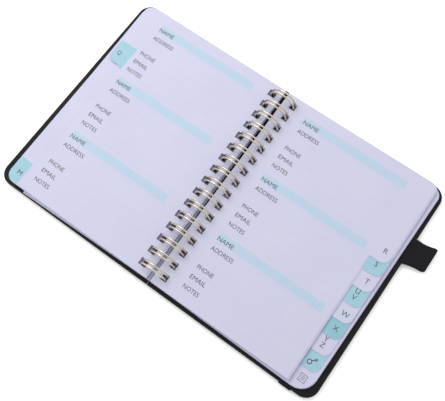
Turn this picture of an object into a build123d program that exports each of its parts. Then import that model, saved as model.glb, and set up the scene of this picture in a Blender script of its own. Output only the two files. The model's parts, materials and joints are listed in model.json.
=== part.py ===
from build123d import *
from itertools import accumulate, combinations, pairwise
from math import cos, degrees, dist, hypot, pi, radians, sin, sqrt
import os

# A pocket address book with two hard covers on a twin-loop wire, lying open at its tabs Q and R.
# Millimetres. X runs across the open spread, Y up the page and Z up from the table.
# The origin is on the table, under the middle of the wire.
# Every cover and leaf is drawn lying on the right, and is mirrored if it lies on the left.

# Leaves and their tabs, in reading order
TAB_NAMES = ["a", "b", "c", "d", "e", "f", "g", "h", "ij", "k", "l", "m",
             "n", "op", "q", "r", "s", "t", "uv", "w", "x", "yz", "key", "notes"]
TABS_DOWN_THE_PAGE = 12       # the first twelve tabs step down the page, and so do the next twelve
LAST_TAB_ON_THE_LEFT = "q"
LEAF_WIDTH = 101.6            # to the outer side of the tab
LEAF_HEIGHT = 139.7
LEAF_CORNER = 4.5
LEAF_THICKNESS = 0.09
LEAVES_PER_TAB = 3
NOTES_LEAVES = 22             # the notes section is the thick one
NOTES_EXTRA_WIDTH = 2.8       # its leaves reach out beyond the tabs
TAB_DEPTH = 9.6               # how far the leaf is cut back below its own tab
FIRST_TAB_HEIGHT = 24.2       # from the head of the leaf to the foot of the first tab
SECTION_AIR = 0.02            # between one section and the next
LEFT_SLIDE = 0.7              # how far the leaves on the left have slid away from the spine
LOWER_SLIDE = 0.9             # how much further the leaves under an open page have slid
FACING_AIR = 0.75             # between the two open pages once the book is closed

# Punching
EDGE_MARGIN = 2.5             # paper left between a leaf's bound edge and its holes
HOLE_LENGTH = 4.8             # along X
WIRE_CLEARANCE = 0.3          # between the wire and the ends of a hole, in every pose
HOLE_SIDE_CLEARANCE = 0.4     # between the wire and the side of a hole

# Twin-loop wire
LOOP_PITCH = 25.4 / 3         # three loops to the inch
WIRE_DIAMETER = 1.0
PAIR_SPACING = 2.4            # between the two wires of one loop
TIP_GAP = 0.5                 # air between a loop's closed tip and the bends beside it
WIRE_SIDES = 5                # the wire is drawn with flat sides and in short straight steps
ARC_STEPS = 12                # round each side of a loop
BEND_STEPS = 4                # round each tip and each root

# Covers
BOARD_THICKNESS = 1.5
WRAP_THICKNESS = 0.35
LINER_THICKNESS = 0.35
TURN_IN = 12.0                # width of the skin that is folded over onto the inside
COVER_CORNER = 8.0            # at the fore edge; the corners at the spine are square
COVER_EDGE_BEVEL = 0.5        # soft edge of the skin
COVER_GAP = 0.4               # between the bound edges of the two covers
COVER_MARGIN = 2.4            # cover left between its bound edge and its holes
FORE_EDGE_OVERHANG = 5.04
HEAD_OVERHANG = 2.3

# Elastic closure on the back cover
ELASTIC_WIDTH = 7.7
ELASTIC_THICKNESS = 1.0
ELASTIC_INSET = 16.5          # from the fore edge to the middle of the band
ELASTIC_TAIL = 10.0           # length of each tucked end

# Pen loop on the back cover
PEN_LOOP_WIDTH = 15.4         # along the fore edge
PEN_LOOP_REACH = 13.1         # out from the fore edge
PEN_LOOP_CENTRE = 30.8        # up the page from the middle
PEN_LOOP_CORNER = 3.0
PEN_LOOP_HEIGHT = 2.8         # of the flattened loop
PEN_LOOP_TAIL = 10.0          # length glued into the board
STRAP_THICKNESS = 0.6

# Sizes that follow from those above
SECTION_LEAVES = {name: NOTES_LEAVES if name == "notes" else LEAVES_PER_TAB for name in TAB_NAMES}
split = TAB_NAMES.index(LAST_TAB_ON_THE_LEFT) + 1
LEFT_FROM_BOTTOM = TAB_NAMES[:split]
RIGHT_FROM_BOTTOM = TAB_NAMES[:split - 1:-1]


def section_thickness(name):
    return SECTION_LEAVES[name] * LEAF_THICKNESS


def stack_thickness(names):
    return sum(section_thickness(name) + SECTION_AIR for name in names)


loop_count = int(LEAF_HEIGHT // LOOP_PITCH)
wire_radius = WIRE_DIAMETER / 2
cover_thickness = WRAP_THICKNESS + BOARD_THICKNESS + LINER_THICKNESS
tallest_stack = max(stack_thickness(LEFT_FROM_BOTTOM), stack_thickness(RIGHT_FROM_BOTTOM))
half_closed_book = cover_thickness + tallest_stack + FACING_AIR / 2
cover_hole_start = COVER_GAP / 2 + COVER_MARGIN

# The loops are as large as the closed book needs: they pass under the outer faces of both covers.
loop_inside = hypot(half_closed_book, cover_hole_start) + WIRE_CLEARANCE
loop_outside = loop_inside + WIRE_DIAMETER
loop_radius = loop_inside + wire_radius
axis_z = loop_radius + wire_radius * cos(pi / WIRE_SIDES)
cover_bottom = axis_z - half_closed_book
board_bottom = cover_bottom + WRAP_THICKNESS
board_top = board_bottom + BOARD_THICKNESS
cover_top = cover_bottom + cover_thickness
hole_width = PAIR_SPACING + WIRE_DIAMETER + 2 * HOLE_SIDE_CLEARANCE
tab_step = (LEAF_HEIGHT - FIRST_TAB_HEIGHT) / (TABS_DOWN_THE_PAGE - 1)


def wire_reach(radius, z):
    """How far a circle about the wire's axis reaches along X at the height z."""
    return sqrt(max(radius**2 - (axis_z - z) ** 2, 0))


def furthest_edge(z):
    """How far from the spine the wire lets the bound edge of a leaf slide at the height z."""
    return wire_reach(loop_inside, z) - WIRE_CLEARANCE - EDGE_MARGIN


# The top leaf of a stack is pushed towards the spine, as far as its holes allow.
top_hole_end = wire_reach(loop_outside, cover_top + tallest_stack) + WIRE_CLEARANCE
top_leaf_edge = top_hole_end - HOLE_LENGTH - EDGE_MARGIN
bottom_leaf_edge = furthest_edge(cover_top + SECTION_AIR)
cover_height = LEAF_HEIGHT + 2 * HEAD_OVERHANG
cover_reach = bottom_leaf_edge + LEAF_WIDTH + FORE_EDGE_OVERHANG
cover_width = cover_reach - COVER_GAP / 2
cover_middle = cover_reach - cover_width / 2
cover_hole_length = wire_reach(loop_outside, cover_top) + WIRE_CLEARANCE - cover_hole_start


def save(name, shape):
    shape.label = name
    export_step(shape, f"parts/{name}.step")


def slab(sketch, bottom, thickness):
    return extrude(Pos(0, 0, bottom) * sketch, thickness)


def hole_row(start, length):
    """The row of holes that the loops pass through."""
    places = GridLocations(0, LOOP_PITCH, 1, loop_count)
    return Sketch() + Pos(start + length / 2, 0) * places * Rectangle(length, hole_width)


# Leaves

def leaf_outline(edge, width, step):
    """One leaf: full width down to the foot of its tab, cut back below it."""
    fore = edge + width
    cut = fore - TAB_DEPTH
    head = LEAF_HEIGHT / 2
    foot = head - FIRST_TAB_HEIGHT - step * tab_step
    last = step == TABS_DOWN_THE_PAGE - 1
    below_tab = [(fore, -head)] if last else [(fore, foot), (cut, foot), (cut, -head)]
    outline = make_face(Polyline((edge, -head), (edge, head), (fore, head), *below_tab, close=True))
    tab_corners = outline.vertices().sort_by(Axis.X)[-2:]
    return fillet(tab_corners, LEAF_CORNER)


def leaf_stack(names, on_the_left):
    """The sections of one stack, from the cover up, each with its holes on the wire."""
    open_page_edge = top_leaf_edge + LEFT_SLIDE if on_the_left else top_leaf_edge
    bottom = cover_top + SECTION_AIR
    for name in names:
        thickness = section_thickness(name)
        edge = open_page_edge if name == names[-1] else open_page_edge + LOWER_SLIDE
        edge = min(edge, furthest_edge(bottom))
        width = LEAF_WIDTH + NOTES_EXTRA_WIDTH if name == "notes" else LEAF_WIDTH
        step = TAB_NAMES.index(name) % TABS_DOWN_THE_PAGE
        leaf = leaf_outline(edge, width, step) - hole_row(edge + EDGE_MARGIN, HOLE_LENGTH)
        section = slab(leaf, bottom, thickness)
        save(f"leaves_{name}", mirror(section, Plane.YZ) if on_the_left else section)
        bottom += thickness + SECTION_AIR


# Covers

def cover_outline(inset):
    """A cover's outline drawn in by an inset, with large corners at the fore edge."""
    width = cover_width - 2 * inset
    outline = Pos(cover_middle, 0) * Rectangle(width, cover_height - 2 * inset)
    fore_corners = outline.vertices().sort_by(Axis.X)[2:]
    return fillet(fore_corners, COVER_CORNER - inset)


def liner_outline():
    return Pos(cover_middle, 0) * Rectangle(cover_width - 2 * TURN_IN, cover_height - 2 * TURN_IN)


def soft_block():
    """The outside of a finished cover, with its edges softened."""
    block = slab(cover_outline(0), cover_bottom, cover_thickness)
    faces = block.faces().sort_by(Axis.Z)
    return chamfer(faces[0].edges() + faces[-1].edges(), COVER_EDGE_BEVEL)


def cover_pieces(tucked=None):
    """Board, skin and liner of one cover, with room for what is tucked into its edges."""
    holes = slab(hole_row(cover_hole_start, cover_hole_length), cover_bottom, cover_thickness)
    solid_board = slab(cover_outline(WRAP_THICKNESS), board_bottom, BOARD_THICKNESS)
    liner = slab(liner_outline(), board_top, LINER_THICKNESS)
    board = solid_board - holes
    wrap = soft_block() - solid_board - liner - holes
    if tucked:
        board = board - tucked
        wrap = wrap - tucked
    return {"board": board, "wrap": wrap, "liner": liner}


def elastic_band():
    """Flat band down the outside of the back cover, with both ends tucked in under the turn-in."""
    half = cover_height / 2
    bottom = cover_bottom - ELASTIC_THICKNESS
    tail_bottom = board_top - ELASTIC_THICKNESS
    middle = (bottom + board_top) / 2
    reach = half + ELASTIC_THICKNESS
    loop = Pos(0, middle) * RectangleRounded(2 * reach, board_top - bottom, ELASTIC_THICKNESS)
    inside = Pos(0, (cover_bottom + tail_bottom) / 2) * Rectangle(2 * half, tail_bottom - cover_bottom)
    opening = Pos(0, board_top) * Rectangle(2 * (half - ELASTIC_TAIL), 2 * (board_top - cover_bottom))
    profile = loop - inside - opening
    centre = cover_reach - ELASTIC_INSET
    return extrude(Plane.YZ.offset(centre - ELASTIC_WIDTH / 2) * profile, ELASTIC_WIDTH)


def pen_loop():
    """Strap folded double, with both tails in the board's edge and a flattened loop outside it."""
    tail_height = 2 * STRAP_THICKNESS
    middle = board_top - STRAP_THICKNESS
    loop_centre = cover_reach + PEN_LOOP_REACH / 2
    tail_length = PEN_LOOP_TAIL + PEN_LOOP_HEIGHT / 2
    tail_centre = cover_reach - PEN_LOOP_TAIL + tail_length / 2
    loop = Pos(loop_centre, middle) * SlotOverall(PEN_LOOP_REACH, PEN_LOOP_HEIGHT)
    hollow_height = PEN_LOOP_HEIGHT - tail_height
    hollow = Pos(loop_centre, middle) * SlotOverall(PEN_LOOP_REACH - tail_height, hollow_height)
    profile = loop + Pos(tail_centre, middle) * Rectangle(tail_length, tail_height) - hollow
    strap = extrude(Plane.XZ * profile, PEN_LOOP_WIDTH / 2, both=True)
    plan = RectangleRounded(2 * PEN_LOOP_REACH, PEN_LOOP_WIDTH, PEN_LOOP_CORNER)
    trim = extrude(Pos(cover_reach, 0, 0) * plan, axis_z)
    tails = Box(PEN_LOOP_TAIL, PEN_LOOP_WIDTH, tail_height)
    tails = Pos(cover_reach - PEN_LOOP_TAIL / 2, 0, middle) * tails
    return Pos(0, PEN_LOOP_CENTRE, 0) * (strap & (trim + tails))


# Twin-loop wire

tip_bend = PAIR_SPACING / 2
root_bend = (LOOP_PITCH - PAIR_SPACING) / 2
# Each tip stops short of its own root, clear of the bends on both sides of it.
tip_setback = sqrt((tip_bend + root_bend + WIRE_DIAMETER + TIP_GAP) ** 2 - (LOOP_PITCH / 2) ** 2)
loop_sweep = 360 - degrees(tip_setback / loop_radius)
loop_places = [(i - (loop_count - 1) / 2) * LOOP_PITCH for i in range(loop_count)]
up_the_page = Vector(0, 1, 0)


def outward(angle):
    """Away from the wire's axis, at an angle that runs from straight down towards +X."""
    return Vector(sin(radians(angle)), 0, -cos(radians(angle)))


def onward(angle):
    """Along a loop, in the sense of that angle."""
    return Vector(cos(radians(angle)), 0, sin(radians(angle)))


def on_loop(angle, y):
    return outward(angle) * loop_radius + Vector(0, y, axis_z)


def half_turn(centre, radius, heading, outside, steps):
    """Stations inside a bend that starts along the heading and comes back beside it."""
    angles = [180 * i / steps for i in range(1, steps)]
    return [(centre + heading * radius * sin(radians(a)) - up_the_page * radius * cos(radians(a)),
             heading * cos(radians(a)) + up_the_page * sin(radians(a)), outside) for a in angles]


def wire_stations(arc_steps, bend_steps):
    """Place, heading and outer side at each station, from one end of the wire to the other."""
    angles = [loop_sweep * i / arc_steps for i in range(arc_steps + 1)]
    stations = []
    for y in loop_places:
        if stations:
            root = on_loop(0, y - LOOP_PITCH / 2)
            stations += half_turn(root, root_bend, -onward(0), outward(0), bend_steps)
        stations += [(on_loop(a, y - tip_bend), onward(a), outward(a)) for a in angles]
        tip = on_loop(loop_sweep, y)
        stations += half_turn(tip, tip_bend, onward(loop_sweep), outward(loop_sweep), bend_steps)
        stations += [(on_loop(a, y + tip_bend), -onward(a), outward(a)) for a in reversed(angles)]
    return stations


def wire_section(place, heading, outside):
    """The wire's section, with a flat side on the outside of the loop."""
    plane = Plane(origin=place, x_dir=outside, z_dir=heading)
    turns = [pi * (2 * side + 1) / WIRE_SIDES for side in range(WIRE_SIDES)]
    corners = [(wire_radius * cos(turn), wire_radius * sin(turn)) for turn in turns]
    return Wire.make_polygon([plane.from_local_coords(corner) for corner in corners])


def twin_loop_wire():
    sections = [wire_section(*station) for station in wire_stations(ARC_STEPS, BEND_STEPS)]
    return Solid.make_loft(sections, ruled=True)


def least_wire_gap():
    """Least air between two places on the wire that are further apart along it than one bend."""
    places = [tuple(place) for place, heading, outside in wire_stations(3 * ARC_STEPS, 3 * BEND_STEPS)]
    travelled = [0, *accumulate(dist(p, q) for p, q in pairwise(places))]
    pairs = combinations(zip(places, travelled), 2)
    bend = pi * root_bend
    return min(dist(p, q) for (p, here), (q, there) in pairs if there - here > bend) - WIRE_DIAMETER


os.makedirs("parts", exist_ok=True)
leaf_stack(LEFT_FROM_BOTTOM, on_the_left=True)
leaf_stack(RIGHT_FROM_BOTTOM, on_the_left=False)
band = elastic_band()
strap = pen_loop()
for piece, shape in cover_pieces().items():
    save(f"front_{piece}", mirror(shape, Plane.YZ))
for piece, shape in cover_pieces(tucked=band + strap).items():
    save(f"back_{piece}", shape)
save("elastic_band", band)
save("pen_loop", strap)
save("twin_loop_wire", twin_loop_wire())
print(f"loop radius {loop_radius:.3f}, wire axis at height {axis_z:.3f}, loops {loop_count}")
print(f"covers from {cover_bottom:.3f} to {cover_top:.3f}, fore edge at {cover_reach:.3f}")
print(f"open pages at {cover_top + tallest_stack:.3f}")
print(f"bound edges of the leaves at {bottom_leaf_edge:.3f} to {top_leaf_edge:.3f}")
print(f"least gap of the wire to itself {least_wire_gap():.2f}")
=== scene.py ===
import json
import random
from math import cos, pi, radians, sin, sqrt
from string import ascii_uppercase

import bpy
from mathutils import Matrix, Quaternion, Vector
from mathutils.geometry import delaunay_2d_cdt


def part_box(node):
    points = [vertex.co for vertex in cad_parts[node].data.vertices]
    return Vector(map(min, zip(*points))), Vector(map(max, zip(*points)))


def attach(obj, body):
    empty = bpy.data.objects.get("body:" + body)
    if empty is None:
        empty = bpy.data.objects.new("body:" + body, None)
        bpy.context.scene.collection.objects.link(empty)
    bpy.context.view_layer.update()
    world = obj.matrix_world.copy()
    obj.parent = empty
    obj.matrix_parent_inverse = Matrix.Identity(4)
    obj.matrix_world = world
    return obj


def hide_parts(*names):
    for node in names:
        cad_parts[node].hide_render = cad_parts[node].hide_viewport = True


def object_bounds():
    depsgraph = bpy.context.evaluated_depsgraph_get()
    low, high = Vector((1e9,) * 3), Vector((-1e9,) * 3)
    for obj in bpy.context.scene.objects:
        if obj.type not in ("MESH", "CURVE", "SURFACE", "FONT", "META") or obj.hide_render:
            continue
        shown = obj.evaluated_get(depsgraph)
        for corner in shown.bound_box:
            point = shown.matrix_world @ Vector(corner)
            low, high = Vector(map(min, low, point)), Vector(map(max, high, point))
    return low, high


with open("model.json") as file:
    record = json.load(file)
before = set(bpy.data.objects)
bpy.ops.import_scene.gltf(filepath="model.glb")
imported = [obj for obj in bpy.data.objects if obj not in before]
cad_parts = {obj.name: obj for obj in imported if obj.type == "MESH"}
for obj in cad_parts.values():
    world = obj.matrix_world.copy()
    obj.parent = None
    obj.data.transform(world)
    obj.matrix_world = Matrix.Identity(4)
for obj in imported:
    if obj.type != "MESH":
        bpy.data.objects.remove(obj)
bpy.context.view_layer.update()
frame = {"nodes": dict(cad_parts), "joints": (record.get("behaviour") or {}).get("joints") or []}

# Cover boards: two plates of grey millboard, die-cut with a row of oblong holes along the bound edge.
# The skin hides them, so the raw pulped fibre shows only on the walls of the holes.
MILLBOARD_GREY = (0.27, 0.25, 0.23)
MILLBOARD_PALE = (0.40, 0.38, 0.34)
SEAM = 1e-6


def start_finish(name, colour, roughness):
    """A new finish and its surface shader, set to one colour and one roughness."""
    finish = bpy.data.materials.new(name)
    finish.use_nodes = True
    surface = finish.node_tree.nodes["Principled BSDF"]
    surface.inputs["Base Color"].default_value = (*colour, 1)
    surface.inputs["Roughness"].default_value = roughness
    return finish, surface


def add(finish, kind, inputs, **settings):
    """Adds a shader node. Its inputs are set to plain values or joined to other nodes' outputs."""
    node = finish.node_tree.nodes.new(kind)
    for name, value in settings.items():
        setattr(node, name, value)
    for name, value in inputs.items():
        if isinstance(value, bpy.types.NodeSocket):
            finish.node_tree.links.new(value, node.inputs[name])
        else:
            node.inputs[name].default_value = value
    return node


def join(finish, output, surface, name):
    finish.node_tree.links.new(output, surface.inputs[name])


def on_the_piece(finish):
    """Places measured on the piece itself, in metres."""
    return add(finish, "ShaderNodeTexCoord", {}).outputs["Object"]


def mottle(finish, place, size, detail):
    """Cloudy variation from 0 to 1, with lumps of about the given size in metres."""
    cloud = add(finish, "ShaderNodeTexNoise", {"Vector": place, "Scale": 1 / size, "Detail": detail})
    return cloud.outputs["Fac"]


def tones(finish, factor, dark, pale, low=0.35, high=0.7):
    """A colour that goes from dark to pale as the factor goes from low to high."""
    ramp = add(finish, "ShaderNodeValToRGB", {"Fac": factor})
    ramp.color_ramp.elements[0].position = low
    ramp.color_ramp.elements[1].position = high
    ramp.color_ramp.elements[0].color = (*dark, 1)
    ramp.color_ramp.elements[1].color = (*pale, 1)
    return ramp.outputs["Color"]


def relief(finish, surface, height, depth, strength=1.0):
    """Raises the surface by a height map that stands for the given depth in metres."""
    bump = add(finish, "ShaderNodeBump", {"Height": height, "Strength": strength, "Distance": depth})
    join(finish, bump.outputs["Normal"], surface, "Normal")


def coat_node(name, finish):
    """Gives a piece of the frame its finish, and closes the seams between its faces."""
    piece = frame["nodes"][name]
    piece.data.materials.clear()
    piece.data.materials.append(finish)
    weld = piece.modifiers.new("weld", "WELD")
    weld.merge_threshold = SEAM
    return piece


millboard, surface = start_finish("millboard", MILLBOARD_GREY, roughness=0.95)
fibres = mottle(millboard, on_the_piece(millboard), size=0.0006, detail=6)
join(millboard, tones(millboard, fibres, MILLBOARD_GREY, MILLBOARD_PALE), surface, "Base Color")
relief(millboard, surface, fibres, depth=0.00008)
for name in ("front_board", "back_board"):
    coat_node(name, millboard)

# Cover skins: black leatherette, glued over the boards and folded in round all four edges.
# The coated cloth has a fine pebble grain, a dull sheen, and soft edges where it turns round the board.
SKIN_BLACK = (0.009, 0.009, 0.011)
SKIN_WORN = (0.014, 0.014, 0.016)
GRAIN_SIZE = 0.00055
DULL_SHINE = 0.12
SOFT_EDGE = 0.00018
SHARP_ANGLE = radians(30)

leatherette, surface = start_finish("leatherette", SKIN_BLACK, roughness=0.5)
place = on_the_piece(leatherette)
grain = add(leatherette, "ShaderNodeTexVoronoi",
            {"Vector": place, "Scale": 1 / GRAIN_SIZE, "Smoothness": 0.6}, feature="SMOOTH_F1")
rubbed = mottle(leatherette, place, size=0.012, detail=4)
join(leatherette, tones(leatherette, rubbed, SKIN_BLACK, SKIN_WORN, high=0.72), surface, "Base Color")
sheen = add(leatherette, "ShaderNodeMapRange", {"Value": rubbed, "To Min": 0.62, "To Max": 0.5})
join(leatherette, sheen.outputs["Result"], surface, "Roughness")
relief(leatherette, surface, grain.outputs["Distance"], depth=0.00007, strength=0.6)
surface.inputs["Specular IOR Level"].default_value = DULL_SHINE


def soften(piece, width):
    """Rounds the piece's sharp edges a little."""
    edge = piece.modifiers.new("soft_edge", "BEVEL")
    edge.width = width
    edge.segments = 2
    edge.limit_method = "ANGLE"
    edge.angle_limit = SHARP_ANGLE
    edge.use_clamp_overlap = True


for name in ("front_wrap", "back_wrap"):
    soften(coat_node(name, leatherette), SOFT_EDGE)

# Cover liners: a sheet of black paper inside each cover, glued over the folded-in edges of the skin.
# It is uncoated, so it is duller than the skin and shows a short fibre.
LINER_BLACK = (0.013, 0.013, 0.015)
LINER_FIBRE = (0.022, 0.022, 0.025)
LINER_SHINE = 0.1

black_paper, surface = start_finish("black_paper", LINER_BLACK, roughness=0.85)
fibres = mottle(black_paper, on_the_piece(black_paper), size=0.0008, detail=6)
join(black_paper, tones(black_paper, fibres, LINER_BLACK, LINER_FIBRE, low=0.4), surface, "Base Color")
relief(black_paper, surface, fibres, depth=0.00003)
surface.inputs["Specular IOR Level"].default_value = LINER_SHINE
for name in ("front_liner", "back_liner"):
    coat_node(name, black_paper)

# Elastic closure: a flat woven band of covered rubber cords that runs down the outside of the back cover.
# Its ends go round the head and the foot of the cover, and are glued in under the folded edge of the skin.
MM = 0.001
ELASTIC_BLACK = (0.010, 0.010, 0.012)
ELASTIC_RIB = (0.020, 0.020, 0.023)
ELASTIC_RIBS = 9
ELASTIC_ROOM = 1.0 * MM
ELASTIC_THICKNESS = 0.75 * MM
ELASTIC_TAIL = 10.0 * MM
ELASTIC_BEND = 0.45 * MM
RIB_HEIGHT = 0.1 * MM
POINTS_ON_A_RIB = 6
WEFT = 0.45 * MM
WAVE_AT_SCALE_ONE = pi / 10
BEND_STEPS = 6
BAND_STRETCHES = 36


def new_piece(name, points, faces, finishes, zones=None, smooth=True):
    """A mesh piece from its points and faces, with the number of the finish for each face."""
    mesh = bpy.data.meshes.new(name)
    mesh.from_pydata(points, [], faces)
    for finish in finishes:
        mesh.materials.append(finish)
    if zones:
        mesh.polygons.foreach_set("material_index", zones)
    mesh.polygons.foreach_set("use_smooth", [smooth] * len(faces))
    mesh.update()
    piece = bpy.data.objects.new(name, mesh)
    bpy.context.scene.collection.objects.link(piece)
    return piece


def skin_over(rings):
    """Points and faces of a tube with closed ends, through rings with the same number of points each."""
    around = len(rings[0])
    points = [point for ring in rings for point in ring]
    faces = []
    for start in range(0, len(points) - around, around):
        for i in range(around):
            j = (i + 1) % around
            faces.append((start + i, start + j, start + around + j, start + around + i))
    faces.append(tuple(reversed(range(around))))
    faces.append(tuple(range(len(points) - around, len(points))))
    return points, faces


def turn_corner(centre, radius, start, end, steps):
    """Places on a quarter turn, and the way out from its centre at each of them."""
    angles = [radians(start + (end - start) * i / steps) for i in range(steps + 1)]
    return [((centre[0] + radius * cos(a), centre[1] + radius * sin(a)), (cos(a), sin(a))) for a in angles]


elastic_black, surface = start_finish("elastic", ELASTIC_BLACK, roughness=0.8)
weave = add(elastic_black, "ShaderNodeTexWave",
            {"Vector": on_the_piece(elastic_black), "Scale": WAVE_AT_SCALE_ONE / WEFT, "Distortion": 0.6},
            bands_direction="Y")
weft = weave.outputs["Fac"]
weft_tones = tones(elastic_black, weft, ELASTIC_BLACK, ELASTIC_RIB, low=0.2, high=0.9)
join(elastic_black, weft_tones, surface, "Base Color")
relief(elastic_black, surface, weft, depth=0.00008)
surface.inputs["Specular IOR Level"].default_value = DULL_SHINE

low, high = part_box("elastic_band")
band_width = high.x - low.x
band_middle = (high.x + low.x) / 2
centre_low = low.z + ELASTIC_ROOM - ELASTIC_THICKNESS / 2
centre_high = high.z - ELASTIC_ROOM / 2
reach = high.y - ELASTIC_ROOM + ELASTIC_THICKNESS / 2
tail_end = high.y - ELASTIC_ROOM - ELASTIC_TAIL
bend_start = reach - ELASTIC_BEND
half_path = [((bend_start * i / BAND_STRETCHES, centre_low), (0, -1)) for i in range(BAND_STRETCHES)]
half_path += turn_corner((bend_start, centre_low + ELASTIC_BEND), ELASTIC_BEND, -90, 0, BEND_STEPS)
half_path += turn_corner((bend_start, centre_high - ELASTIC_BEND), ELASTIC_BEND, 0, 90, BEND_STEPS)
half_path.append(((tail_end, centre_high), (0, 1)))
other_half = [((-y, z), (-out_y, out_z)) for (y, z), (out_y, out_z) in half_path[:0:-1]]
rings = []
rib_points = ELASTIC_RIBS * POINTS_ON_A_RIB
for (y, z), (out_y, out_z) in other_half + half_path:
    ring = []
    for side in (1, -1):
        for i in range(rib_points + 1):
            share = i / rib_points
            across = band_middle - side * (share - 0.5) * band_width
            rib = abs(sin(pi * ELASTIC_RIBS * share))
            out = side * (ELASTIC_THICKNESS / 2 - RIB_HEIGHT * (1 - rib))
            ring.append((across, y + out_y * out, z + out_z * out))
    rings.append(ring)
elastic = new_piece("elastic_closure", *skin_over(rings), [elastic_black])
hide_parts("elastic_band")
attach(elastic, "back_cover")

# Pen loop: a strap of black woven tape, folded double into a flattened loop beyond the fore edge.
# One tail is glued into the edge of the back board and the other onto the cover's inner face.
STRAP_BLACK = (0.010, 0.010, 0.012)
STRAP_THREAD = (0.022, 0.022, 0.025)
STRAP_THICKNESS = 0.6 * MM
STRAP_CORNER = 2.2 * MM
STRAP_TAIL = 10.0 * MM
STRAP_WAIST = 0.8 * MM
STRAP_LEAN = 2.4 * MM
STRAP_SPARE = 0.5 * MM
STRAP_PAD = 2.6 * MM
STRAP_SNUG = 0.96
STRAP_SWELL = 2.5
TAPE_THREAD = 0.5 * MM
FOLD_ANGLES = range(-75, 76, 15)
STRAP_STEPS = 14
FREE_STEPS = 6
STRAP_COLUMNS = 16

tape, surface = start_finish("woven_tape", STRAP_BLACK, roughness=0.8)
threads = {"Vector": on_the_piece(tape), "Scale": WAVE_AT_SCALE_ONE / TAPE_THREAD, "Distortion": 0.4}
warp = add(tape, "ShaderNodeTexWave", threads, bands_direction="X").outputs["Fac"]
weft = add(tape, "ShaderNodeTexWave", threads, bands_direction="Y").outputs["Fac"]
weave = add(tape, "ShaderNodeMath", {0: warp, 1: weft}, operation="MULTIPLY").outputs["Value"]
join(tape, tones(tape, weave, STRAP_BLACK, STRAP_THREAD, low=0.1, high=0.8), surface, "Base Color")
relief(tape, surface, weave, depth=0.00008)
surface.inputs["Specular IOR Level"].default_value = DULL_SHINE

low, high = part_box("pen_loop")
_, cover_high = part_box("back_wrap")
fore_edge = cover_high.x
middle = (low.z + high.z) / 2
strap_half = (high.y - low.y) / 2 + STRAP_SPARE
strap_centre = (high.y + low.y) / 2
loop_rise = (high.z - low.z) / 2 - STRAP_THICKNESS / 2
fold_centre = high.x - (high.z - low.z) / 2
lower_run = [(fore_edge - STRAP_TAIL, -STRAP_THICKNESS / 2), (fore_edge, -STRAP_THICKNESS / 2)]
for i in range(1, STRAP_STEPS + 1):
    share = i / STRAP_STEPS
    swell = sin(pi / 2 * min(share * STRAP_SWELL, 1))
    lower_run.append((fore_edge + (fold_centre - fore_edge) * share,
                      -STRAP_THICKNESS / 2 - (loop_rise - STRAP_THICKNESS / 2) * swell))
fold = [(fold_centre + loop_rise * cos(radians(a)), loop_rise * sin(radians(a))) for a in FOLD_ANGLES]
pad_height = cover_high.z - middle + STRAP_THICKNESS / 2
upper_run = [(x, -z) for x, z in reversed(lower_run[FREE_STEPS:])]
upper_run += [(fore_edge, pad_height), (fore_edge - STRAP_PAD, pad_height)]
strap_path = lower_run + fold + upper_run


def strap_half_width(x):
    """Half the strap's width at a place out from the spine: a slight waist, then rounded outer corners."""
    share = min(max((x - fore_edge) / (high.x - fore_edge), 0), 1)
    waist = STRAP_WAIST * sin(pi * share)
    into_corner = max(x - (high.x - STRAP_CORNER), 0)
    return strap_half - waist - STRAP_CORNER + sqrt(STRAP_CORNER**2 - into_corner**2)


points = []
faces = []
for x, z in strap_path:
    half = strap_half_width(x)
    lean = STRAP_LEAN * (max(x - fore_edge, 0) / (high.x - fore_edge) - 0.5)
    points += [(x, strap_centre + lean + half * (2 * i / STRAP_COLUMNS - 1), middle + z)
               for i in range(STRAP_COLUMNS + 1)]
across = STRAP_COLUMNS + 1
for row in range(len(strap_path) - 1):
    for i in range(STRAP_COLUMNS):
        corner = row * across + i
        faces.append((corner, corner + 1, corner + across + 1, corner + across))
strap = new_piece("pen_loop_strap", points, faces, [tape])
thickness = strap.modifiers.new("tape_thickness", "SOLIDIFY")
thickness.thickness = STRAP_THICKNESS * STRAP_SNUG
thickness.offset = 0
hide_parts("pen_loop")
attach(strap, "back_cover")

# Leaves: white offset paper, punched in one row of holes for the wire and cut in steps down the fore edge.
# A tab's section is a few loose sheets, the last a thick block for notes. The ones underneath lie askew.
# Pale blue bands and tabs are printed on a section's outer faces, with very faint writing rules.
PAGE = (0.685, 0.685, 0.855)
PAGE_SHADE = (0.655, 0.655, 0.835)
RULE = (0.58, 0.60, 0.76)
BAND = (0.515, 0.665, 0.815)
BAND_FAINT = (0.545, 0.68, 0.82)
TAB_TINT = (0.36, 0.615, 0.72)
TAB_TINT_FAINT = (0.42, 0.645, 0.755)
DEEP_TINT = (0.29, 0.56, 0.655)
DEEP_TINT_FAINT = (0.345, 0.59, 0.69)
DEEP_TINTED = "x"
TAB_NAMES = ["a", "b", "c", "d", "e", "f", "g", "h", "ij", "k", "l", "m",
             "n", "op", "q", "r", "s", "t", "uv", "w", "x", "yz", "key", "notes"]
LAST_ON_THE_LEFT = "q"
TABS_DOWN_THE_PAGE = 12
NOTES_SHEETS = 22
SHEETS_PER_TAB = 3
LEAF_WIDTH = 101.6
LEAF_HEIGHT = 139.7
LEAF_CORNER = 4.5
FOOT_CORNER = 6.0
NOTES_CORNERS = (9.0, 13.0)
FIRST_TAB_HEIGHT = 24.2
CUT_DEPTH = 9.6
EARLY_CUT_DEPTH = 14.1
HOLE_WIDTH = 4.2
HOLE_SPAN = (2.5, 7.3)
OPEN_LEFT_HOLE_SPAN = (3.0, 7.8)
UNDER_LEFT_HOLE_SPAN = (2.0, 7.3)
EARLY_HOLE_SPAN = (2.6, 5.25)
LOOP_PITCH = 25.4 / 3
LOOPS = 16
RIGHT_PAGE_BANDS = (15.3, 86.0)
LEFT_PAGE_BANDS = (17.4, 87.0)
BAND_HEIGHT = 5.5
BAND_CENTRES = (60.0, 16.5, -27.0)
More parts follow.
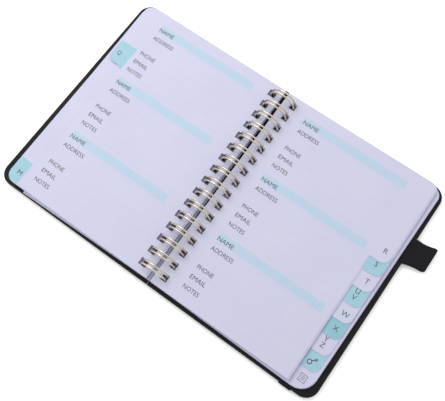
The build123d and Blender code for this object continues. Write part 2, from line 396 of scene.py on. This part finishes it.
ROW_PITCH = 6.6
ROW_DROP = 0.85
RULE_HALF = 0.11
RULE_STRENGTH = 0.55
TINT_DEPTH = 11.5
EARLY_TINT_DEPTH = 8.6
TINT_HEIGHT = 15.0
LEFT_TINT_BELOW = 1.8
TINT_OVERRUN = 5.0
INK_ROOM = 0.012
SHEET_AIR = 0.012
CORNER_STEPS = 6
NO_CUT_BELOW = 1.0
SHEET_STRAY = 0.12
EARLY_SECTIONS = 5
EARLY_SPREAD = (2.45, 1.2)
EARLY_TWIST = 1.1
UNDER_SPREAD = (1.6, 0.4)
UNDER_TWIST = 0.3
NOTES_SPREAD = (0, 2.1)
NOTES_FAN = 0.5
NOTES_TWISTS = (0.5, 0.9)
OPEN_RIGHT = "r"
OPEN_RIGHT_SPARE = (0.3, 1.4)
OPEN_RIGHT_TAB_MORE = 1.8
RIGHT_RISE = 1.0
RIGHT_CUT_DEPTH = 10.9

paper, surface = start_finish("paper", PAGE, roughness=0.75)
place = on_the_piece(paper)
clouds = mottle(paper, place, size=0.03, detail=2)
fibres = mottle(paper, place, size=0.0004, detail=4)
plain = tones(paper, clouds, PAGE_SHADE, PAGE, low=0.3)


def reckon(first, second, operation, third=0.0):
    """One step of arithmetic in the paper's finish, on plain values or other nodes' outputs."""
    node = add(paper, "ShaderNodeMath", {0: first, 1: second, 2: third}, operation=operation)
    return node.outputs["Value"]


split = add(paper, "ShaderNodeSeparateXYZ", {"Vector": place})
block_height = (BAND_CENTRES[0] - BAND_CENTRES[1]) * MM
below_band = reckon(reckon(BAND_CENTRES[0] * MM, split.outputs["Y"], "SUBTRACT"), block_height, "WRAP")
below_rule = reckon(below_band, (ROW_DROP + ROW_PITCH / 2) * MM, "SUBTRACT")
on_rule = reckon(reckon(below_rule, ROW_PITCH / 2 * MM, "PINGPONG"), RULE_HALF * MM, "LESS_THAN")
rule_start, rule_end = RIGHT_PAGE_BANDS
along_rule = reckon(split.outputs["X"], (rule_start + rule_end) / 2 * MM, "COMPARE",
                    third=(rule_end - rule_start) / 2 * MM)
ruled = reckon(reckon(on_rule, along_rule, "MULTIPLY"), RULE_STRENGTH, "MULTIPLY")
printed = add(paper, "ShaderNodeMix", {0: ruled, 6: plain, 7: (*RULE, 1)}, data_type="RGBA")
join(paper, printed.outputs[2], surface, "Base Color")
relief(paper, surface, fibres, depth=0.000012)


def ink_on_paper(name, solid, faint):
    """Paper covered by a screen of printing ink, which takes a little unevenly."""
    finish, surface = start_finish(name, solid, roughness=0.7)
    take = mottle(finish, on_the_piece(finish), size=0.004, detail=5)
    join(finish, tones(finish, take, solid, faint), surface, "Base Color")
    return finish


band_ink = ink_on_paper("band_ink", BAND, BAND_FAINT)
tab_ink = ink_on_paper("tab_ink", TAB_TINT, TAB_TINT_FAINT)
deep_tab_ink = ink_on_paper("deep_tab_ink", DEEP_TINT, DEEP_TINT_FAINT)
PAPER_ZONE, BAND_ZONE, TAB_ZONE = range(3)
INSIDE_ONLY = 1
PLAN_WELD = 1e-5


def box_outline(left, right, bottom, top):
    return [(left, bottom), (right, bottom), (right, top), (left, top)]


def rounded(corner, before, after, radius=LEAF_CORNER):
    """Points on an arc that rounds off a square corner between two neighbours."""
    x, y = corner
    way_in = Vector((before[0] - x, before[1] - y)).normalized()
    way_out = Vector((after[0] - x, after[1] - y)).normalized()
    centre = Vector(corner) + radius * (way_in + way_out)
    angles = [pi / 2 * i / CORNER_STEPS for i in range(CORNER_STEPS + 1)]
    return [tuple(centre - radius * (way_out * cos(a) + way_in * sin(a))) for a in angles]


def tab_foot(tab):
    """Height on the page where a tab ends."""
    step = TAB_NAMES.index(tab) % TABS_DOWN_THE_PAGE
    tab_pitch = (LEAF_HEIGHT - FIRST_TAB_HEIGHT) / (TABS_DOWN_THE_PAGE - 1)
    return LEAF_HEIGHT / 2 - FIRST_TAB_HEIGHT - step * tab_pitch


def leaf_outline(foot, inner, outer, cut_depth, twist, foot_corner):
    """Outline of a sheet on the right, with spare paper at both sides and a small turn on the wire."""
    head = LEAF_HEIGHT / 2
    bottom = -head
    fore = LEAF_WIDTH + outer
    foot_spare, head_spare = inner
    if foot < bottom + NO_CUT_BELOW:
        below = rounded((fore, bottom), (fore, head), (-foot_spare, bottom), foot_corner)
    else:
        cut = fore - cut_depth
        below = rounded((fore, foot), (fore, head), (cut, foot)) + [(cut, foot), (cut, bottom)]
    bound = [(-foot_spare, bottom), (-head_spare, head)]
    outline = bound + rounded((fore, head), bound[1], (fore, bottom)) + below
    across, along = cos(radians(twist)), sin(radians(twist))
    outline = [(x * across + y * along, y * across - (x - HOLE_SPAN[0]) * along) for x, y in outline]
    return outline[::-1]


hole_places = [(i - (LOOPS - 1) / 2) * LOOP_PITCH for i in range(LOOPS)]


def hole_row(start, end):
    return [box_outline(start, end, y - HOLE_WIDTH / 2, y + HOLE_WIDTH / 2) for y in hole_places]


def band_row(start, end):
    return [box_outline(start, end, y - BAND_HEIGHT / 2, y + BAND_HEIGHT / 2) for y in BAND_CENTRES]


def plan_of_sheet(outline, holes, bands, tint):
    """Flat triangles of a sheet with its holes left out, and the printed zone that each is in."""
    shapes = [outline, *holes, *bands, *tint]
    corners = [Vector(corner) for shape in shapes for corner in shape]
    starts = [sum(len(shape) for shape in shapes[:i]) for i in range(len(shapes))]
    loops = [list(range(start, start + len(shape))) for start, shape in zip(starts, shapes)]
    flat, _, triangles, _, _, sources = delaunay_2d_cdt(corners, [], loops, INSIDE_ONLY, PLAN_WELD)
    first_band = 1 + len(holes)
    first_tint = first_band + len(bands)
    kept = []
    zones = []
    for triangle, source in zip(triangles, sources):
        if 0 not in source or any(1 <= shape < first_band for shape in source):
            continue
        kept.append(tuple(triangle))
        if any(shape >= first_tint for shape in source):
            zones.append(TAB_ZONE)
        else:
            zones.append(BAND_ZONE if any(shape >= first_band for shape in source) else PAPER_ZONE)
    used = sorted({corner for triangle in kept for corner in triangle})
    order = {corner: i for i, corner in enumerate(used)}
    kept = [tuple(order[corner] for corner in triangle) for triangle in kept]
    return [tuple(flat[corner]) for corner in used], kept, zones


def sheet_mesh(plan, bottom, top, printed_below, printed_above):
    """Points, faces and zones of one thin sheet."""
    flat, parts, zones = plan
    count = len(flat)
    points = [(x * MM, y * MM, bottom) for x, y in flat] + [(x * MM, y * MM, top) for x, y in flat]
    faces = [part[::-1] for part in parts]
    faces += [tuple(corner + count for corner in part) for part in parts]
    sides = {(part[i], part[(i + 1) % len(part)]) for part in parts for i in range(len(part))}
    rim = sorted((a, b) for a, b in sides if (b, a) not in sides)
    faces += [(a, b, b + count, a + count) for a, b in rim]
    blank = [PAPER_ZONE] * len(parts)
    face_zones = (zones if printed_below else blank) + (zones if printed_above else blank)
    return points, faces, face_zones + [PAPER_ZONE] * len(rim)


dice = random.Random(7)
last_left = TAB_NAMES.index(LAST_ON_THE_LEFT)
section_places = {}
for number, tab in enumerate(TAB_NAMES):
    on_the_left = number <= last_left
    low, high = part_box(f"leaves_{tab}")
    half = (high.z - low.z) / 2
    sheets = NOTES_SHEETS if tab == "notes" else SHEETS_PER_TAB
    tinted = number % 2 == (1 if number < TABS_DOWN_THE_PAGE else 0)
    foot = tab_foot(tab)
    spread, twist, hole_span = (0, 0), 0, HOLE_SPAN
    rise = 0 if on_the_left else RIGHT_RISE
    cut_depth = CUT_DEPTH if on_the_left else RIGHT_CUT_DEPTH
    if number < TABS_DOWN_THE_PAGE:
        cut_depth = EARLY_CUT_DEPTH
    if number < EARLY_SECTIONS:
        spread, twist, hole_span = EARLY_SPREAD, EARLY_TWIST, EARLY_HOLE_SPAN
    elif number < last_left:
        spread, twist, hole_span = UNDER_SPREAD, UNDER_TWIST, UNDER_LEFT_HOLE_SPAN
    elif on_the_left:
        hole_span = OPEN_LEFT_HOLE_SPAN
    elif tab == "notes":
        spread = NOTES_SPREAD
    bound_spare = (spread[0], spread[0])
    if tab == OPEN_RIGHT:
        bound_spare = OPEN_RIGHT_SPARE
        foot -= OPEN_RIGHT_TAB_MORE
    tint_start = LEAF_WIDTH - (EARLY_TINT_DEPTH if number < TABS_DOWN_THE_PAGE else TINT_DEPTH)
    tint_foot = foot + rise - (LEFT_TINT_BELOW if on_the_left else 0)
    tint_head = foot + rise + TINT_HEIGHT
    tint = [box_outline(tint_start, LEAF_WIDTH + TINT_OVERRUN, tint_foot, tint_head)] if tinted else []
    points = []
    faces = []
    zones = []
    pitch = (2 * half - 2 * INK_ROOM * MM) / sheets
    for sheet in range(sheets):
        outer = sheet in (0, sheets - 1)
        deep = 1 - sheet / (sheets - 1)
        stray = 0 if outer else dice.uniform(-SHEET_STRAY, SHEET_STRAY)
        turn = twist
        foot_corner = FOOT_CORNER
        if tab == "notes":
            stray = NOTES_FAN * deep
            turn = dice.uniform(*NOTES_TWISTS)
            foot_corner = dice.uniform(*NOTES_CORNERS)
        outline = leaf_outline(foot, bound_spare, spread[1] + stray, cut_depth, turn, foot_corner)
        outline = [(x, y + rise * x / LEAF_WIDTH) for x, y in outline]
        bands = band_row(*(LEFT_PAGE_BANDS if sheet == 0 else RIGHT_PAGE_BANDS))
        if tab in ("key", "notes"):
            bands = []
        plan = plan_of_sheet(outline, hole_row(*hole_span), bands, tint)
        bottom = -half + INK_ROOM * MM + sheet * pitch
        start = len(points)
        more_points, more_faces, more_zones = sheet_mesh(plan, bottom, bottom + pitch - SHEET_AIR * MM,
                                                         sheet == 0, sheet == sheets - 1)
        points += more_points
        faces += [tuple(corner + start for corner in face) for face in more_faces]
        zones += more_zones
    finishes = [paper, band_ink, deep_tab_ink if tab == DEEP_TINTED else tab_ink]
    section = new_piece(f"sheets_{tab}", points, faces, finishes, zones, smooth=False)
    edge = high.x if on_the_left else low.x
    facing = Matrix.Rotation(pi if on_the_left else 0, 4, "Y")
    section_places[tab] = Matrix.Translation((edge, 0, (low.z + high.z) / 2)) @ facing
    section.matrix_world = section_places[tab]
    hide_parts(f"leaves_{tab}")
    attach(section, f"section_{tab}")

# Page captions: small grey capitals, printed on both outer faces of every address section.
# One stands in each band and on four of the five rows below it, at the left of the page as it is read.
INK_GREY = (0.035, 0.035, 0.045)
CAPTION_HEIGHT = 2.65
CAPTION_WIDTHS = {"NAME": 10.4, "ADDRESS": 14.8, "PHONE": 10.7, "EMAIL": 10.2, "NOTES": 10.4}
CAPTION_ROWS = {"NAME": 0, "ADDRESS": 1, "PHONE": 3, "EMAIL": 4, "NOTES": 5}
RIGHT_PAGE_CAPTIONS = 16.2
LEFT_PAGE_CAPTIONS = -87.1
INK_LIFT = 0.011
INK_FILM = 0.008
INK_FADE = 1.5
LETTER_CURVE_STEPS = 3
LETTER_WELD = 1e-6
EMPTY_FACE = 1e-6

grey_ink = ink_on_paper("grey_ink", INK_GREY, tuple(INK_FADE * part for part in INK_GREY))


def drawn_together(shapes):
    """One flat figure from drawn shapes that may cross each other."""
    corners = []
    loops = []
    for spots, faces in shapes:
        start = len(corners)
        corners += [Vector(spot) for spot in spots]
        loops += [[corner + start for corner in face] for face in faces]
    flat, _, triangles, _, _, sources = delaunay_2d_cdt(corners, [], loops, INSIDE_ONLY, LETTER_WELD)
    return [tuple(spot) for spot in flat], [tuple(t) for t, source in zip(triangles, sources) if source]


def letter_shape(words, width, height):
    """Flat points and faces of plain capitals, fitted to a width and a height about their middle."""
    text = bpy.data.curves.new("letters", "FONT")
    text.body = words
    text.resolution_u = LETTER_CURVE_STEPS
    writing = bpy.data.objects.new("letters", text)
    bpy.context.scene.collection.objects.link(writing)
    bpy.context.view_layer.update()
    drawn = writing.evaluated_get(bpy.context.evaluated_depsgraph_get())
    mesh = bpy.data.meshes.new_from_object(drawn)
    spots = [vertex.co.xy for vertex in mesh.vertices]
    faces = [tuple(face.vertices) for face in mesh.polygons if face.area > EMPTY_FACE]
    bpy.data.objects.remove(writing)
    spots, faces = drawn_together([(spots, faces)])
    left, right = min(x for x, y in spots), max(x for x, y in spots)
    bottom, top = min(y for x, y in spots), max(y for x, y in spots)
    scale_y = height / (top - bottom)
    scale_x = width / (right - left) if width else scale_y
    middle_x, middle_y = (left + right) / 2, (bottom + top) / 2
    return [((x - middle_x) * scale_x, (y - middle_y) * scale_y) for x, y in spots], faces


def print_shapes(placed, height, turned_over):
    """Points and faces of thin films of ink set on a page, turned face down if it is a back page."""
    points = []
    faces = []
    for (spots, parts), (x, y) in placed:
        start = len(points)
        film = [(x + u, y + v) for u, v in spots], parts, []
        more_points, more_faces, _ = sheet_mesh(film, height - INK_FILM * MM, height, False, False)
        points += more_points
        faces += [tuple(corner + start for corner in face) for face in more_faces]
    if turned_over:
        points = [(-x, y, -z) for x, y, z in points]
    return points, faces


caption_shapes = {}
for words, width in CAPTION_WIDTHS.items():
    caption_shapes[words] = letter_shape(words, width, CAPTION_HEIGHT)
low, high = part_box("leaves_r")
ink_height = (high.z - low.z) / 2 - INK_ROOM * MM - SHEET_AIR * MM + INK_LIFT * MM
caption_points = []
caption_faces = []
for start_x, turned_over in ((RIGHT_PAGE_CAPTIONS, False), (LEFT_PAGE_CAPTIONS, True)):
    placed = []
    for band in BAND_CENTRES:
        for words, row in CAPTION_ROWS.items():
            spot = (start_x + CAPTION_WIDTHS[words] / 2, band - ROW_DROP - row * ROW_PITCH)
            placed.append((caption_shapes[words], spot))
    lift = ink_height + (SHEET_AIR * MM if turned_over else 0)
    points, faces = print_shapes(placed, lift, turned_over)
    start = len(caption_points)
    caption_points += points
    caption_faces += [tuple(corner + start for corner in face) for face in faces]
captions = new_piece("captions_a", caption_points, caption_faces, [grey_ink], smooth=False)
for tab in TAB_NAMES[:-2]:
    piece = captions
    if tab != TAB_NAMES[0]:
        piece = bpy.data.objects.new(f"captions_{tab}", captions.data)
        bpy.context.scene.collection.objects.link(piece)
    piece.matrix_world = section_places[tab]
    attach(piece, f"section_{tab}")

# Tab marks: one or two dark grey capitals on both faces of each tab, printed along with the captions.
# The last two tabs carry a key and a note sheet in place of capitals, drawn as plain line figures.
MARK_GREY = (0.045, 0.045, 0.055)
MARK_HEIGHT = 3.0
RIGHT_PAGE_MARKS = 96.6
LEFT_PAGE_MARKS = -97.8
PAIR_INSET = 1.1
MARK_RISE = 6.9
PAIR_RISES = (9.8, 5.9)
MARK_SLIPS = {"m": (-1.9, -0.4), "r": (0.5, -0.6), "s": (-0.9, 0.6), "w": (0, -1.2),
              "key": (-1.0, -0.7), "notes": (-0.2, -0.6)}
MARK_FADE = 1.4
KEY_SLOPE = 48
KEY_BOW = -1.5
KEY_BOW_RADIUS = 1.25
KEY_SHANK_START = 1.4
KEY_TIP = 2.8
KEY_LINE = 0.52
KEY_BITS = (0.2, 1.0)
KEY_BIT_LENGTH = 0.8
KEY_BIT_LINE = 0.45
NOTE_SHEET = (2.0, 2.1)
NOTE_SHEET_LINE = 0.28
NOTE_ROWS = (-0.9, 0, 0.9)
NOTE_ROW_HALF = 1.1
NOTE_ROW_LINE = 0.26
RING_STEPS = 24

mark_ink = ink_on_paper("mark_ink", MARK_GREY, tuple(MARK_FADE * part for part in MARK_GREY))


def stroke(start, end, width):
    """A straight pen stroke as one flat face."""
    along = Vector((end[0] - start[0], end[1] - start[1])).normalized() * width / 2
    side = Vector((-along.y, along.x))
    corners = [Vector(start) - along - side, Vector(end) + along - side,
               Vector(end) + along + side, Vector(start) - along + side]
    return [tuple(corner) for corner in corners], [(0, 1, 2, 3)]


def ring(centre, radius, width):
    """A drawn circle as a flat band of faces."""
    turns = [2 * pi * i / RING_STEPS for i in range(RING_STEPS)]
    spots = [(centre[0] + r * cos(a), centre[1] + r * sin(a))
             for r in (radius - width / 2, radius + width / 2) for a in turns]
    faces = []
    for i in range(RING_STEPS):
        j = (i + 1) % RING_STEPS
        faces.append((i, i + RING_STEPS, j + RING_STEPS, j))
    return spots, faces


def key_figure():
    """A key with its bow at the lower left and its bit at the upper right."""
    slope = Vector((cos(radians(KEY_SLOPE)), sin(radians(KEY_SLOPE))))
    across = Vector((slope.y, -slope.x))
    bow = KEY_BOW * slope
    tip = KEY_TIP * slope
    shapes = [ring(bow, KEY_BOW_RADIUS, KEY_LINE), stroke(bow + KEY_SHANK_START * slope, tip, KEY_LINE)]
    for back in KEY_BITS:
        root = tip - back * slope
        shapes.append(stroke(root, root + KEY_BIT_LENGTH * across, KEY_BIT_LINE))
    return drawn_together(shapes)


def note_figure():
    """A note sheet with three written lines."""
    half_width, half_height = NOTE_SHEET
    corners = box_outline(-half_width, half_width, -half_height, half_height)
    shapes = [stroke(corners[i], corners[(i + 1) % 4], NOTE_SHEET_LINE) for i in range(4)]
    shapes += [stroke((-NOTE_ROW_HALF, y), (NOTE_ROW_HALF, y), NOTE_ROW_LINE) for y in NOTE_ROWS]
    return drawn_together(shapes)


capital_shapes = {letter: letter_shape(letter, None, MARK_HEIGHT) for letter in ascii_uppercase}
for tab in TAB_NAMES:
    foot = tab_foot(tab)
    if tab in ("key", "notes"):
        marks = [(key_figure() if tab == "key" else note_figure(), MARK_RISE)]
    else:
        rises = PAIR_RISES if len(tab) == 2 else (MARK_RISE,)
        marks = [(capital_shapes[letter.upper()], rise) for letter, rise in zip(tab, rises)]
    low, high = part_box(f"leaves_{tab}")
    face_height = (high.z - low.z) / 2 - INK_ROOM * MM
    points = []
    faces = []
    for turned_over in (False, True):
        slip_out, slip_up = MARK_SLIPS.get(tab, (0, 0))
        reach = RIGHT_PAGE_MARKS - (PAIR_INSET if len(tab) == 2 else 0) + slip_out
        if turned_over:
            reach = LEFT_PAGE_MARKS - slip_out
        lift = face_height + INK_LIFT * MM - (0 if turned_over else SHEET_AIR * MM)
        placed = [(shape, (reach, foot + slip_up + rise)) for shape, rise in marks]
        more_points, more_faces = print_shapes(placed, lift, turned_over)
        start = len(points)
        points += more_points
        faces += [tuple(corner + start for corner in face) for face in more_faces]
    mark = new_piece(f"tab_mark_{tab}", points, faces, [mark_ink], smooth=False)
    mark.matrix_world = section_places[tab]
    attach(mark, f"section_{tab}")

# Twin-loop wire: one length of soft steel wire, bent into sixteen paired loops and closed round the holes.
# Each tip is pressed back beside its own root, and the wire has a thin satin coat of pale gold.
GOLD = (0.54, 0.48, 0.40)
GOLD_PALE = (0.61, 0.55, 0.47)
LOOP_RADIUS = 8.197
WIRE_RADIUS = 0.58
PAIR_SPACING = 2.25
TIP_GAP = 0.5
LOOP_STEPS = 44
TIP_STEPS = 10
WIRE_SIDES = 12

gold_coat, surface = start_finish("gold_coat", GOLD, roughness=0.3)
rubs = mottle(gold_coat, on_the_piece(gold_coat), size=0.003, detail=4)
join(gold_coat, tones(gold_coat, rubs, GOLD, GOLD_PALE), surface, "Base Color")
sheen = add(gold_coat, "ShaderNodeMapRange", {"Value": rubs, "To Min": 0.36, "To Max": 0.24})
join(gold_coat, sheen.outputs["Result"], surface, "Roughness")
surface.inputs["Metallic"].default_value = 1.0

axis_height = frame["joints"][0]["pos_m"][2] / MM
tip_bend = PAIR_SPACING / 2
root_bend = (LOOP_PITCH - PAIR_SPACING) / 2
tip_setback = sqrt((tip_bend + root_bend + 2 * WIRE_RADIUS + TIP_GAP) ** 2 - (LOOP_PITCH / 2) ** 2)
loop_sweep = 2 * pi - tip_setback / LOOP_RADIUS
up_the_page = Vector((0, 1, 0))


def outward(angle):
    """Away from the wire's axis, at an angle that runs from straight down towards the right."""
    return Vector((sin(angle), 0, -cos(angle)))


def onward(angle):
    """Along a loop, in the sense of that angle."""
    return Vector((cos(angle), 0, sin(angle)))


def on_loop(angle, y):
    return outward(angle) * LOOP_RADIUS + Vector((0, y, axis_height))


def half_turn(centre, radius, heading, outside):
    """Stations inside a bend that starts along the heading and comes back beside it."""
    angles = [pi * i / TIP_STEPS for i in range(1, TIP_STEPS)]
    return [(centre + heading * radius * sin(a) - up_the_page * radius * cos(a),
             heading * cos(a) + up_the_page * sin(a), outside) for a in angles]


loop_angles = [loop_sweep * i / LOOP_STEPS for i in range(LOOP_STEPS + 1)]
stations = []
for y in hole_places:
    if stations:
        stations += half_turn(on_loop(0, y - LOOP_PITCH / 2), root_bend, -onward(0), outward(0))
    stations += [(on_loop(a, y - tip_bend), onward(a), outward(a)) for a in loop_angles]
    stations += half_turn(on_loop(loop_sweep, y), tip_bend, onward(loop_sweep), outward(loop_sweep))
    stations += [(on_loop(a, y + tip_bend), -onward(a), outward(a)) for a in reversed(loop_angles)]
rings = []
for spot, heading, outside in stations:
    side = heading.cross(outside)
    turns = [2 * pi * i / WIRE_SIDES for i in range(WIRE_SIDES)]
    rings.append([tuple((spot + WIRE_RADIUS * (outside * cos(t) + side * sin(t))) * MM) for t in turns])
wire = new_piece("binding_wire", *skin_over(rings), [gold_coat])
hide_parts("twin_loop_wire")
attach(wire, "back_cover")

# Table: a plain white sheet that the open book stands on, on its row of loops.
# It looks as white as the room behind it and keeps the book's own soft shadow.
# Its glow fades where the book crowds it, which paints a contact shadow and darkens the gap between the
# covers.
TABLE_SIZE = 3.0
TABLE_WHITE = 0.9
TABLE_GLOW = 0.6
PAINTED_SHADE_REACH = 0.006

lowest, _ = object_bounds()
table_points = [(x * TABLE_SIZE, y * TABLE_SIZE, lowest.z) for x, y in box_outline(-1, 1, -1, 1)]
table_white, surface = start_finish("table_white", (TABLE_WHITE,) * 3, roughness=0.9)
surface.inputs["Specular IOR Level"].default_value = 0.0


def on_the_way_to_the_eye(finish):
    """1 for light that goes to the camera, also by way of metal or glass, and 0 for all other light."""
    rays = add(finish, "ShaderNodeLightPath", {})
    seen = rays.outputs["Is Camera Ray"]
    for way in ("Is Glossy Ray", "Is Transmission Ray"):
        either = add(finish, "ShaderNodeMath", {0: seen, 1: rays.outputs[way]}, operation="MAXIMUM")
        seen = either.outputs["Value"]
    return seen


# Painted shade: the glow is scaled by how open the table is, so it fades near and under the book.
painted_contact_shade = add(table_white, "ShaderNodeAmbientOcclusion", {"Distance": PAINTED_SHADE_REACH})
seen = on_the_way_to_the_eye(table_white)
glow = add(table_white, "ShaderNodeMath", {0: seen, 1: painted_contact_shade.outputs["AO"]}, operation="MULTIPLY")
glow = add(table_white, "ShaderNodeMath", {0: glow.outputs["Value"], 1: TABLE_GLOW}, operation="MULTIPLY")
surface.inputs["Emission Color"].default_value = (1, 1, 1, 1)
join(table_white, glow.outputs["Value"], surface, "Emission Strength")
table = new_piece("table", table_points, [(0, 1, 2, 3)], [table_white], smooth=False)

# Light: an even white room and two large soft lamps, a strong one on the front cover's side
# and a weak one beyond the back cover's head, so that the light falls off a little across the spread.
ROOM_LIGHT = 0.55
LAMP_SIZE = 0.5
LAMP_POWERS = {"lamp": 2.9, "weak_lamp": 0.45}
LAMP_PLACES = {"lamp": Vector((-0.42, 0.14, 0.62)), "weak_lamp": Vector((0.42, 0.40, 0.45))}

room = bpy.data.worlds.new("room")
bpy.context.scene.world = room
room.use_nodes = True
room_out = room.node_tree.nodes["World Output"]
plain_light = room.node_tree.nodes["Background"]
plain_light.inputs["Color"].default_value = (1, 1, 1, 1)
plain_light.inputs["Strength"].default_value = ROOM_LIGHT
white_wall = add(room, "ShaderNodeBackground", {"Color": (1, 1, 1, 1), "Strength": 1.0})
seen = on_the_way_to_the_eye(room)
walls = add(room, "ShaderNodeMixShader",
            {0: seen, 1: plain_light.outputs["Background"], 2: white_wall.outputs["Background"]})
room.node_tree.links.new(walls.outputs["Shader"], room_out.inputs["Surface"])

for name, spot in LAMP_PLACES.items():
    lamp_data = bpy.data.lights.new(name, "AREA")
    lamp_data.energy = LAMP_POWERS[name]
    lamp_data.size = LAMP_SIZE
    lamp = bpy.data.objects.new(name, lamp_data)
    bpy.context.scene.collection.objects.link(lamp)
    lamp.location = spot
    lamp.rotation_mode = "QUATERNION"
    lamp.rotation_quaternion = (-spot).to_track_quat("-Z", "Y")

# Camera: held over the spread, a little towards its foot and its back cover,
# and rolled by less than a degree.
CAMERA_PLACE = Vector((71.994, -96.379, 367.420)) * MM
CAMERA_TARGET = Vector((7.017, -8.686, 8.227)) * MM
CAMERA_ROLL = radians(-0.8971)
LENS = 52.9603

camera_data = bpy.data.cameras.new("camera")
camera_data.sensor_fit = "HORIZONTAL"
camera_data.sensor_width = 36
camera_data.lens = LENS
camera_data.clip_start = 0.01
camera = bpy.data.objects.new("camera", camera_data)
bpy.context.scene.collection.objects.link(camera)
camera.location = CAMERA_PLACE
camera.rotation_mode = "QUATERNION"
line_of_sight = (CAMERA_TARGET - CAMERA_PLACE).to_track_quat("-Z", "Y")
camera.rotation_quaternion = line_of_sight @ Quaternion((0, 0, 1), CAMERA_ROLL)
bpy.context.scene.camera = camera
bpy.context.scene.view_settings.view_transform = "Standard"
